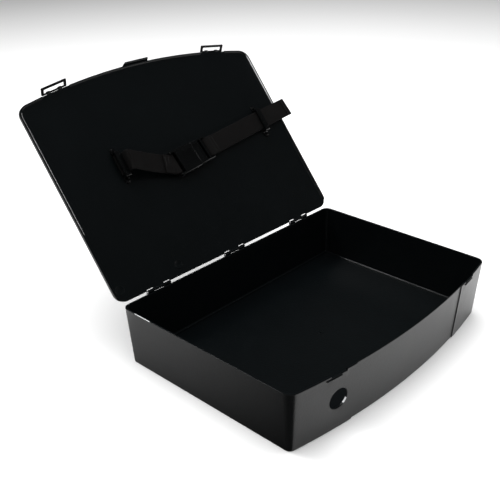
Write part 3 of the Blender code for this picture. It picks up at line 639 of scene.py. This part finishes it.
def lid_shell():
    latch_gaps = [(x - lip_gap_half, x + lip_gap_half) for x in latch_x.values()]
    bites = [(low - knuckle_gap, high + knuckle_gap)
             for centre in hinge_centres for low, high in tray_knuckles_x(centre)]
    plan = case_plan(overhang, lid_back, lid_corner, latch_gaps, bites)
    lip_end, straight_end = lid_back - 0.52 * lid_corner, lid_back - 0.47 * lid_corner
    lip_width = overhang - lip_gap
    ease, crown, side_flare, flare_run, edge_curve = 0.0004, 0.0010, 0.0010, 0.006, 0.0008
    section = [(-lip_width - 0.0015, 0.0), (-lip_width - ease, 0.0), (-lip_width, -ease)]
    section += [(out, -(lip + h)) for out, h in quarter(crown - lip_width, -crown, crown, 180, 90, 5)]
    section += [(out, -(lip + h)) for out, h in quarter(-ease, -ease, ease, 90, 0, 3)]
    section += [(0.0, -ease), (0.0, 0.4 * lid_skin)]
    section += quarter(-edge_curve, lid_skin - edge_curve, edge_curve, 0, 90, 5)
    section += [(-0.0025, lid_skin)]
    rows = []
    for out, height in section:
        row = []
        for spot, way in plan:
            bare = spot.y > lip_end or (way.y < -0.9 and within(spot.x, latch_gaps))
            sunk = max(height, -0.15 * ease * (1 + out / lip_width)) if bare else height
            bitten = relief if way.y > 0.99 and within(spot.x, bites) and out > -relief else 0.0
            x, y = spot + way * (out - bitten)
            if out > crown - lip_width or height > 0:
                share = min(1.0, max(0.0, 1 + (abs(spot.x) - half_width) / flare_run))
                x += math.copysign(side_flare * share, x)
            elif y > lid_back - lid_corner and spot.y < straight_end:
                x = math.copysign(half_width + lip_gap + lip_width + out, x)
            row.append((x, y, lid_inner + sunk))
        rows.append(row)
    bm = bmesh.new()
    loft(bm, rows)
    bm.faces.ensure_lookup_table()
    # Crown rows of the lip near the front on both sides take the pale finish: painted highlight lines.
    first_crown_row, last_crown_row = 3, 7
    painted_line_left_y, painted_line_right_y = 0.045, -0.025
    for i in range(first_crown_row * len(plan), last_crown_row * len(plan)):
        x, y, _ = bm.faces[i].calc_center_median()
        if abs(x) > half_width and y < (painted_line_left_y if x < 0 else painted_line_right_y):
            bm.faces[i].material_index = 1
    piece = finished("lid_shell", bm, case_black, "lid", swung)
    piece.data.materials.append(painted_edge_highlight)
    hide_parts("lid")


lid_shell()


def latch_hang(x):
    """The frame of a latch's pivot on the closed lid: X along the edge, -Y outwards."""
    turn, clip_reach = math.asin(x / lid_bow), 0.0016
    outset = Vector((math.sin(turn), -math.cos(turn), 0)) * clip_reach
    spot = Vector((x, lid_front(x), lid_inner + lid_skin / 2)) + outset
    return Matrix.Translation(spot) @ Matrix.Rotation(turn, 4, "Z")


def lid_fittings():
    """The lid's hinge barrels and latch clips, each on a flat web from the edge."""
    bm = bmesh.new()
    for centre in hinge_centres:
        (_, low), (high, _) = tray_knuckles_x(centre)
        low, high = low + knuckle_gap, high - knuckle_gap
        tube(bm, knuckle_radius, pin_bore, low, high, Matrix.Translation(hinge_line))
        rounded_block(bm, (low, lid_back - 0.003, lid_inner),
                      (high, hinge_line.y - 0.0012, lid_inner + lid_skin), 0.0002)
    clip_apart, clip_width, clip_radius, clip_bore = 0.0170, 0.0045, 0.0019, 0.0012
    for x in latch_x.values():
        for side in (-1, 1):
            clip_low = (side * clip_apart - clip_width) / 2
            clip_high = clip_low + clip_width
            tube(bm, clip_radius, clip_bore, clip_low, clip_high, latch_hang(x))
            rounded_block(bm, (clip_low, 0.0014, -lid_skin / 2), (clip_high, 0.0036, lid_skin / 2), 0.0002,
                          latch_hang(x))
    piece = finished("lid_barrels_and_clips", bm, case_black, "lid", swung)


lid_fittings()


def thumb_tab():
    """The curled lift at the middle of the lid's front edge, its left shoulder cut back."""
    left, right_end, reach, drop, cut_back = -0.0230, 0.0180, 0.0040, 0.0030, 0.005
    inner = reach - lid_skin
    outline = [(0.003, lid_skin)]
    outline += [(reach * math.cos(a), lid_skin - reach + reach * math.sin(a))
                for a in steps_between(math.pi / 2, math.pi, 10)]
    outline += [(-reach, 0.0004 - drop), (-reach + 0.0004, -drop), (-inner - 0.0004, -drop),
                (-inner, 0.0004 - drop)]
    outline += [(inner * math.cos(a), lid_skin - reach + inner * math.sin(a))
                for a in steps_between(math.pi, math.pi / 2, 8)]
    outline += [(0.003, 0.0001)]
    bm = bmesh.new()
    rows = []
    for x, shrink in ((left, 0.4), (left + 0.0004, 0.0), (left + 0.004, 0.0), (right_end - 0.004, 0.0),
                      (right_end - 0.0004, 0.0), (right_end, 0.4)):
        row = []
        for y, z in outline:
            middle = lid_skin - 0.6 * reach
            slide = cut_back * min(1.0, max(0.0, -y / reach)) if x < 0 else 0.0
            row.append((x + slide, y + 0.0004 * shrink, z + (middle - z) * 0.06 * shrink))
        rows.append(row)
    loft(bm, rows)
    place = Matrix.Translation((0, lid_front(0), lid_inner))
    piece = finished("thumb_tab", bm, case_black, "lid", swung @ place)


thumb_tab()


def on_lid(x, v, rise):
    """A place above the lid's inner face: v from the back edge, rise off the face."""
    return swung @ Vector((x, lid_back - v, lid_inner - rise))


def ejector_marks():
    """Two round witness marks where pins pushed the lid out of its mould."""
    radius, proud = 0.0055, 0.00025
    profile = [(radius + 0.0004, 0.00002), (radius, -proud), (radius - 0.0005, -proud),
               (radius - 0.0009, -0.00002)]
    bm = bmesh.new()
    for x, v in ((-0.087, 0.013), (-0.173, 0.014)):
        turned(bm, profile, 56, Matrix.Translation((x, lid_back - v, lid_inner)))
    piece = finished("ejector_marks", bm, case_black, "lid", swung)


ejector_marks()


# ---- Latch loops ----
# Two flat rectangular loops, moulded in the same black, that snap onto the lid's clips by a round rod
# and flip over the front edge to catch under the tray's ridges.
loop_length, loop_width, loop_thick = 0.0086, 0.037, 0.0018
loop_arm, loop_bar, loop_rod = 0.0034, 0.0028, 0.0009
loop_tilt = math.radians(50.0)
latch_black = moulding("latch_black_moulding", (0.0012, 0.0013, 0.0014), 0.34, 1700, 0.000006, gloss=0.1)


def rounded_rectangle(low, high, radius):
    """Corner points of a rectangle in XY with round corners, anticlockwise."""
    centres = ((high[0] - radius, low[1] + radius, -90), (high[0] - radius, high[1] - radius, 0),
               (low[0] + radius, high[1] - radius, 90), (low[0] + radius, low[1] + radius, 180))
    turns = [(x, y, math.radians(start + step))
             for x, y, start in centres for step in steps_between(0, 90, 5)]
    return [(x + radius * math.cos(angle), y + radius * math.sin(angle)) for x, y, angle in turns]


def latch_loop(side, x):
    half, thick, ease = loop_width / 2, loop_thick / 2, 0.0004

    def outer(inset):
        return rounded_rectangle((inset - half, inset - loop_length), (half - inset, loop_rod - inset),
                                 0.0009 - 0.6 * inset)

    def inner(inset):
        return rounded_rectangle((loop_arm - half - inset, loop_bar - loop_length - inset),
                                 (half - loop_arm + inset, -loop_rod + inset), 0.0006 + 0.6 * inset)

    rows = []
    for outline, face, start, end in ((outer, 1, 0, 90), (inner, 1, 90, 0),
                                      (inner, -1, 0, 90), (outer, -1, 90, 0)):
        for inset, height in quarter(0, thick - ease, ease, start, end, 3):
            rows.append([(p, q, face * height) for p, q in outline(ease - inset)])
    bm = bmesh.new()
    loft(bm, rows, closed=True)
    place = swung @ latch_hang(x) @ Matrix.Rotation(loop_tilt, 4, "X")
    piece = finished(f"latch_{side}", bm, latch_black, f"latch_{side}", place)
    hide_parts(f"latch_loop_{side}")


for side, x in latch_x.items():
    latch_loop(side, x)


# ---- Strap anchors and rivets ----
# Two moulded bridges hold the webbing to the lid: a bar on two posts over the strap, a round-ended foot
# at each end, and a domed plastic rivet through each foot.
anchors = {"left": (-0.0955, 0.1455), "right": (0.1430, 0.1412)}
anchor_width, anchor_length, anchor_height = 0.0080, 0.0330, 0.0086
slot_length, slot_low, slot_high = 0.0290, 0.0015, 0.0062
foot_length, foot_top = 0.0460, 0.0014
rivet_spacing = 0.0395
fitting_black = moulding("fitting_black_moulding", (0.0012, 0.0014, 0.0015), 0.22, 2200, 0.000002)


def anchor_place(x, v):
    return swung @ Matrix.Translation((x, lid_back - v, lid_inner)) @ Matrix.Rotation(math.pi, 4, "X")


def strap_anchor(side, place):
    """A bridge swept from foot to foot, thick over the strap and thin at the feet."""
    post = (anchor_length - slot_length) / 2
    low, ease, half = 0.0003, 0.0006, anchor_width / 2
    foot, leg, slot = -foot_length / 2, -anchor_length / 2, -slot_length / 2
    toe = [(foot, 0.35), (foot + 0.0012, 0.8), (foot + 0.0035, 1.0)]
    sweep = [(y, foot_top, share) for y, share in toe]
    sweep += [(y, z, 1.0) for y, z in ((leg - 0.0008, foot_top), (leg, foot_top + 0.0008),
                                       (leg, anchor_height - 0.0016), (leg + 0.0006, anchor_height - 0.0005),
                                       (leg + 0.0018, anchor_height))]
    sweep += [(-y, z, share) for y, z, share in reversed(sweep)]
    under = [(y, low, share) for y, share in toe]
    under += [(y, z, 1.0) for y, z in ((leg, low), (slot - 0.4 * post, low), (slot, slot_low),
                                       (slot, slot_high - 0.0004), (slot + 0.0006, slot_high))]
    under += [(-y, z, share) for y, z, share in reversed(under)]
    rows = []
    for (y, z, share), (y_in, z_in, share_in) in zip(sweep, under):
        wide, wide_in = half * share, half * share_in
        over = Vector((0, y - y_in, z - z_in)).normalized() * ease
        rows.append([(-wide_in, y_in, z_in), (wide_in, y_in, z_in), (wide, y - over.y, z - over.z),
                     (wide - 0.3 * ease, y - 0.3 * over.y, z - 0.3 * over.z), (wide - ease, y, z),
                     (ease - wide, y, z), (0.3 * ease - wide, y - 0.3 * over.y, z - 0.3 * over.z),
                     (-wide, y - over.y, z - over.z)])
    bm = bmesh.new()
    loft(bm, rows)
    piece = finished(f"anchor_{side}", bm, fitting_black, "lid", anchor_place(*place), sharp=40)
    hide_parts(f"strap_anchor_{side}")


for side, place in anchors.items():
    strap_anchor(side, place)


def rivet(number, x, v):
    """A domed head on the foot, a straight shank, and a flat head on the lid's outside."""
    head, rise, shank = 0.0024, 0.0011, 0.0012
    inside, outside = foot_top + 0.0003, -lid_skin - 0.0003
    dome = [(head * math.cos(a), inside + 0.25 * rise + 0.75 * rise * math.sin(a))
            for a in steps_between(math.radians(86), 0, 8)]
    stem = [(head, inside), (shank, inside), (shank, outside), (head - 0.0002, outside),
            (head, outside - 0.0002), (head - 0.0003, outside - 0.0006), (0.0010, outside - 0.0007)]
    bm = bmesh.new()
    turned(bm, dome + stem, 32)
    piece = finished(f"rivet_{number}", bm, fitting_black, "lid", anchor_place(x, v))
    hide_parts(f"strap_rivet_{number}")


rivet_spots = [(x, v + side * rivet_spacing / 2) for x, v in anchors.values() for side in (-1, 1)]
for number, (x, v) in enumerate(rivet_spots, start=1):
    rivet(number, x, v)


# ---- Webbing strap ----
# Black 25 mm polypropylene webbing, 1.4 mm thick, in two pieces. The short one runs from the left anchor
# to the buckle's socket, the long one from the plug through the right anchor to a hemmed free end.
strap_width, strap_thick = 0.025, 0.0014
strap_angle, strap_skew = math.radians(6.2), math.radians(14.0)
buckle_x, buckle_v, buckle_rise = 0.0040, 0.1270, 0.0045
socket_start, socket_end = -0.031, 0.005
plug_start, plug_end = 0.0054, 0.031
bar_width, bar_gap, bar_rise, bar_half = 0.0032, 0.0036, 0.0050, 0.0016
fold_x = 0.1500
tail_length = 0.0545


def strap_spot(s, rise):
    """A place s along the buckle's line, as on_lid takes it."""
    return buckle_x + s * math.cos(strap_angle), buckle_v + s * math.sin(strap_angle), rise


def woven(name, colour):
    """Narrow-woven tape: raised warp ribs crossed by fine weft."""
    ribs, picks = 16, 20
    finish = Finish(name, {"Specular IOR Level": 0.15})
    weave_map = finish.node("UVMap", {"uv_map": "weave"}, {})
    along, across = finish.part(weave_map, 0), finish.part(weave_map, 1)
    rib = (across * (math.pi * ribs)).sine().size()
    step = (across * ribs).floor() * math.pi
    pick = (along * (math.pi * picks) + step).sine().size()
    fuzz = finish.noise(1500, detail=2)
    weave = rib * 0.5 + pick * 0.35 + fuzz * 0.25
    worn = finish.noise(60, detail=3).above(0.55, 0.15)
    dark, pale = tuple(c * 0.45 for c in colour), tuple(c * 1.7 for c in colour)
    finish.feed(finish.shader, {"Base Color": finish.mix(weave * 0.8 + worn * 0.15, dark, pale),
                                "Roughness": 0.66 + fuzz * 0.2,
                                "Normal": finish.bump(weave, 0.00022)})
    return finish.material


webbing_black = woven("black_webbing", (0.0030, 0.0028, 0.0028))


def ribbon(bm, stations, width=strap_width, thick=strap_thick):
    """Webbing through stations of (centre, across, up), its edges round, with weave coordinates."""
    layer = bm.loops.layers.uv.get("weave") or bm.loops.layers.uv.new("weave")
    edge = [(math.cos(a), math.sin(a)) for a in steps_between(math.radians(80), math.radians(-80), 6)]
    section = [(0.5 - 0.3 * thick / width * (1 - c), 0.5 * s) for c, s in edge]
    flat = steps_between(0.42, -0.42, 6)
    ring = section + [(w, -0.48) for w in flat] + [(-w, -s) for w, s in section] + [(-w, 0.48) for w in flat]
    rows, lengths = [], []
    travelled = 0.0
    for i, (centre, across, up) in enumerate(stations):
        travelled += (centre - stations[i - 1][0]).length if i else 0.0
        lengths.append(travelled / strap_width)
        rows.append([bm.verts.new(centre + across * (w * width) + up * (t * thick)) for w, t in ring])
    for row, (low, high) in enumerate(zip(rows, rows[1:])):
        for i in range(len(ring)):
            face = bm.faces.new((low[i - 1], low[i], high[i], high[i - 1]))
            corners = ((i - 1, row), (i, row), (i, row + 1), (i - 1, row + 1))
            for loop, (at, place) in zip(face.loops, corners):
                loop[layer].uv = (lengths[place], ring[at][0] + 0.5)
    bm.faces.new(rows[0])
    bm.faces.new(rows[-1])


def stations_from(path):
    """Centres, widths and uprights from (x, v, rise, width angle) places on the lid."""
    spots = [on_lid(x, v, rise) for x, v, rise, _ in path]
    stations = []
    for i, (spot, (_, _, _, angle)) in enumerate(zip(spots, path)):
        ahead_of, behind = spots[min(i + 1, len(spots) - 1)], spots[max(i - 1, 0)]
        across = (swung.to_3x3() @ Vector((math.sin(angle), math.cos(angle), 0))).normalized()
        along = (ahead_of - behind).normalized()
        up = across.cross(along).normalized()
        stations.append((spot, along.cross(up).normalized(), up))
    return stations


def smooth_path(points, count):
    """A Catmull-Rom curve through the points, count steps between each two."""
    padded = [points[0]] + points + [points[-1]]
    curve = []
    for p0, p1, p2, p3 in zip(padded, padded[1:], padded[2:], padded[3:]):
        for i in range(count):
            t = i / count
            curve.append(tuple(0.5 * (2 * b + (c - a) * t + (2 * a - 5 * b + 4 * c - d) * t ** 2
                                      + (3 * b - a - 3 * c + d) * t ** 3)
                               for a, b, c, d in zip(p0, p1, p2, p3)))
    return curve + [points[-1]]


def stitch_rows(bm, start, across, along, up, rows):
    """Lockstitch: short raised thread runs in rows across the webbing."""
    length, pitch = 0.021, 0.0022
    for row in rows:
        for i in range(int(length / pitch)):
            middle = start + along * row + across * ((i + 0.5) * pitch - length / 2)
            place = Matrix((across, along, up)).transposed().to_4x4()
            place.translation = middle
            rounded_block(bm, (-0.38 * pitch, -0.0002, -0.0001), (0.38 * pitch, 0.0002, 0.00022), 0.00015,
                          place, segments=2)


def thread():
    finish = Finish("black_thread", {"Specular IOR Level": 0.4})
    twist = finish.noise(5000, detail=1)
    finish.feed(finish.shader, {"Base Color": finish.mix(twist, (0.008, 0.008, 0.008), (0.03, 0.03, 0.03)),
                                "Roughness": 0.45 + twist * 0.2,
                                "Normal": finish.bump(twist, 0.00005)})
    return finish.material


black_thread = thread()


def sewn_end(name, end, inward, body):
    """Two rows of stitching that hold the folded webbing to itself."""
    face_out = (on_lid(0, 0, 1) - on_lid(0, 0, 0)).normalized()
    along = (inward - end).normalized()
    across = face_out.cross(along).normalized()
    up = along.cross(across)
    bm = bmesh.new()
    stitch_rows(bm, end + up * (strap_thick / 2), across, along, up, (0.0025, 0.0075))
    seam = finished(name, bm, black_thread, body, sharp=60)


def round_the_bar(bar, side):
    """(s, rise) from the sewn-down end, over the bar, back up through its slot and out below it."""
    reach = bar_half + strap_thick / 2 + 0.0003
    over, under = bar_rise + reach, bar_rise - reach
    beyond, corner = bar - side * reach, bar - side * (reach - 0.0005)
    return [(bar + side * 0.0170, buckle_rise + 0.0016), (bar + side * 0.0110, buckle_rise + 0.0017),
            (bar + side * 0.0045, over - 0.0007), (bar, over), (corner, bar_rise + bar_half),
            (beyond, bar_rise), (corner, bar_rise - bar_half), (bar, under),
            (bar + side * 0.0045, under + 0.0004), (bar + side * 0.0110, buckle_rise)]


def short_strap():
    """Out from under the left anchor's bar, over a shoulder, down to the socket and round its bar."""
    left_x, left_v = anchors["left"]
    shoulder_x, shoulder_rise, turn = -0.0900, 0.0165, 0.0030
    under_bar = 0.0036
    end_x, end_v, _ = strap_spot(socket_start - 0.0007, 0)
    side_view = [(left_x - 0.0050, under_bar), (left_x - 0.001, under_bar),
                 (shoulder_x - 0.0012, under_bar + 0.0006), (shoulder_x - 0.0002, under_bar + 0.003),
                 (shoulder_x, 0.5 * (under_bar + shoulder_rise)), (shoulder_x + 0.0001, shoulder_rise - turn),
                 (shoulder_x + 0.0009, shoulder_rise - 0.0008), (shoulder_x + turn, shoulder_rise)]
    run, fall = end_x - shoulder_x - turn, shoulder_rise - buckle_rise
    for share in (0.25, 0.5, 0.75, 1.0):
        sag = 0.0016 * math.sin(math.pi * share)
        side_view.append((shoulder_x + turn + run * share, shoulder_rise - fall * share - sag))
    loop = []
    for s, rise in reversed(round_the_bar(socket_start + bar_width / 2, -1)):
        x = strap_spot(s, 0)[0]
        loop.append((x, rise + fall / run * max(0.0, end_x - 0.0035 - x)))
    kept = [spot for spot in side_view if spot[0] < loop[0][0] - 0.002]
    path = []
    for x, rise in smooth_path(kept + loop, 6):
        share = min(1.0, max(0.0, (x - shoulder_x) / (end_x - shoulder_x)))
        angle = strap_angle * share - strap_skew * math.sin(math.pi * share)
        path.append((x, left_v + (end_v - left_v) * share, rise, angle))
    stations = stations_from(path)
    bm = bmesh.new()
    ribbon(bm, stations)
    piece = finished("short_webbing", bm, webbing_black, "lid", sharp=60)
    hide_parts("short_strap")
    sewn_end("short_webbing_stitching", stations[-1][0], stations[-4][0], "lid")


short_strap()


def long_strap():
    """From the plug through the right anchor, then over the lid's lip to a hemmed, sagging end."""
    fold = (fold_x - buckle_x) / math.cos(strap_angle)
    lip_rise, tip_rise, rest_share = 0.0031, 0.0009, 0.60
    start = plug_end + 0.0007
    side_view = [(s, buckle_rise) for s in steps_between(start, fold, 8)]
    for share in steps_between(0.15, 1.0, 8):
        if share < rest_share:
            rise = buckle_rise + (lip_rise - buckle_rise) * share / rest_share
        else:
            rise = lip_rise + (tip_rise - lip_rise) * ((share - rest_share) / (1 - rest_share)) ** 1.5
        side_view.append((fold + tail_length * share, rise))
    loop = round_the_bar(plug_end - bar_width / 2, 1)
    side_view = loop + [spot for spot in side_view if spot[0] > loop[-1][0] + 0.002]
    path = [(*strap_spot(s, rise), strap_angle) for s, rise in smooth_path(side_view, 6)]
    bm = bmesh.new()
    stations = stations_from(path)
    ribbon(bm, stations)
    piece = finished("long_webbing", bm, webbing_black, None, sharp=60)
    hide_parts("long_strap", "strap_tail")
    on_lid(*strap_spot(fold - 0.0015, buckle_rise))
    on_lid(*strap_spot(fold + 0.0045, buckle_rise))
    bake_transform(piece)
    sewn_end("long_webbing_stitching", stations[0][0], stations[3][0], "strap_pull")
    tip, across, up = stations[-1]
    along = (stations[-1][0] - stations[-3][0]).normalized()
    hem, hem_thick = 0.009, 0.0008
    on_top = up * (0.62 * strap_thick)
    bm = bmesh.new()
    layer_path = [(tip - along * d + on_top, across, up) for d in steps_between(hem, 0.0003, 5)]
    ribbon(bm, layer_path, strap_width - 0.0006, hem_thick)
    cap = finished("tail_hem", bm, webbing_black, "tail", sharp=60)
    bm = bmesh.new()
    stitch_rows(bm, tip + on_top + up * (hem_thick / 2), across, along, up, (-0.0075, -0.0025))
    seam = finished("tail_hem_stitching", bm, black_thread, "tail", sharp=60)


long_strap()


# ---- Side-release buckle ----
# Two glossy acetal mouldings for 25 mm webbing: a hollow socket with a window each side, and a plug with
# two barbed arms, a tongue and a ladder of bars that the long webbing is threaded through.
buckle_width = 0.0330
buckle_low, buckle_high = 0.0003, 0.0097
cavity_half, cavity_low, cavity_high = 0.0146, 0.0019, 0.0077
buckle_place = (swung @ Matrix.Translation((buckle_x, lid_back - buckle_v, lid_inner))
                @ Matrix.Rotation(-strap_angle, 4, "Z") @ Matrix.Rotation(math.pi, 4, "X"))


def soften(piece, width):
    """Rounds the edges that are left sharp."""
    bevel = piece.modifiers.new("eased_edges", "BEVEL")
    bevel.width = width
    bevel.segments = 2
    bevel.limit_method = "ANGLE"
    bevel.angle_limit = math.radians(50)
    bevel.harden_normals = True


def block_tool(*blocks):
    """Boxes that cut the buckle, each given by two corners along it, across it and off the lid."""
    bm = bmesh.new()
    for low, high in blocks:
        block(bm, low, high)
    return finished("block_tool", bm, None, None, buckle_place)


def thin_bar(start, end, rails):
    """Clears the space below and above a bar, so that it's thinner than the side rails."""
    clear = 0.006
    return block_tool(*[((start, -rails, low), (end, rails, low + clear))
                        for low in (bar_rise - bar_half - clear, bar_rise + bar_half)])


def buckle_socket():
    half = buckle_width / 2
    beyond = 0.002
    bm = bmesh.new()
    rounded_block(bm, (socket_start, -half, buckle_low), (socket_end, half, buckle_high), 0.0014, segments=4)
    piece = finished("socket_half", bm, fitting_black, None, buckle_place)
    gap_start = socket_start + bar_width
    rails = half - 0.003
    cut(piece, thin_bar(socket_start - 0.001, gap_start + 0.0005, rails))
    gap_end = gap_start + bar_gap
    webbing_slot = ((gap_start, -rails, buckle_low - beyond), (gap_end, rails, buckle_high + beyond))
    cavity = ((gap_end + 0.0025, -cavity_half, cavity_low), (socket_end + beyond, cavity_half, cavity_high))
    cut(piece, block_tool(webbing_slot, cavity))
    windows = [((-0.0145, side * half - 0.004, cavity_low + 0.0003),
                (-0.0025, side * half + 0.004, cavity_high - 0.0003)) for side in (-1, 1)]
    cut(piece, block_tool(*windows))
    thumb_pad = ((-0.0165, -0.0090, buckle_high - 0.0005), (0.0010, 0.0090, buckle_high + beyond))
    cut(piece, block_tool(thumb_pad))
    grooves = [((-0.0150 + 0.0032 * i, -0.0075, buckle_high - 0.0009),
                (-0.0138 + 0.0032 * i, 0.0075, buckle_high)) for i in range(5)]
    cut(piece, block_tool(*grooves))
    soften(piece, 0.00025)
    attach(piece, "lid")
    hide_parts("buckle_socket")


buckle_socket()


def buckle_plug():
    half = buckle_width / 2 - 0.0010
    slack = 0.0006
    low, high = buckle_low + slack, buckle_high - slack
    bm = bmesh.new()
    rounded_block(bm, (plug_start, -half, low), (plug_end, half, high), 0.0014, segments=4)
    piece = finished("plug_half", bm, fitting_black, None, buckle_place)
    gaps = [plug_end - number * (bar_width + bar_gap) for number in (1, 2)]
    rails = half - 0.0024
    slots = [((gap, -rails, low - 0.002), (gap + bar_gap, rails, high + 0.002)) for gap in gaps]
    cut(piece, block_tool(*slots))
    cut(piece, thin_bar(plug_end - bar_width - 0.0005, plug_end + 0.001, rails))
    grip = ((plug_start + 0.0016, -0.0110, high - 0.0006), (gaps[1] - 0.0016, 0.0110, high + 0.002))
    cut(piece, block_tool(grip))
    soften(piece, 0.00025)
    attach(piece, "strap_pull")
    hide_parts("buckle_plug")
    arm_low, arm_high = cavity_low + slack, cavity_high - slack
    tip, root = plug_start - 0.0185, plug_start + 0.003
    reach = cavity_half - 0.0003
    barb_tip, barb_heel = tip + 0.0060, tip + 0.0110
    arm = [(root, 0.55 * reach), (root, 0.75 * reach), (barb_heel, 0.78 * reach), (barb_heel, reach),
           (barb_tip, reach), (tip, 0.69 * reach), (tip, 0.55 * reach), (barb_tip, 0.62 * reach)]
    bm = bmesh.new()
    rounded_block(bm, (tip + 0.003, -0.0016, arm_low), (root, 0.0016, arm_high), 0.0004)
    for side in (-1, 1):
        loft(bm, [[(x, side * w, height) for x, w in arm] for height in (arm_low, arm_high)])
    prongs = finished("plug_arms", bm, fitting_black, "strap_pull", buckle_place)
    soften(prongs, 0.0003)


buckle_plug()
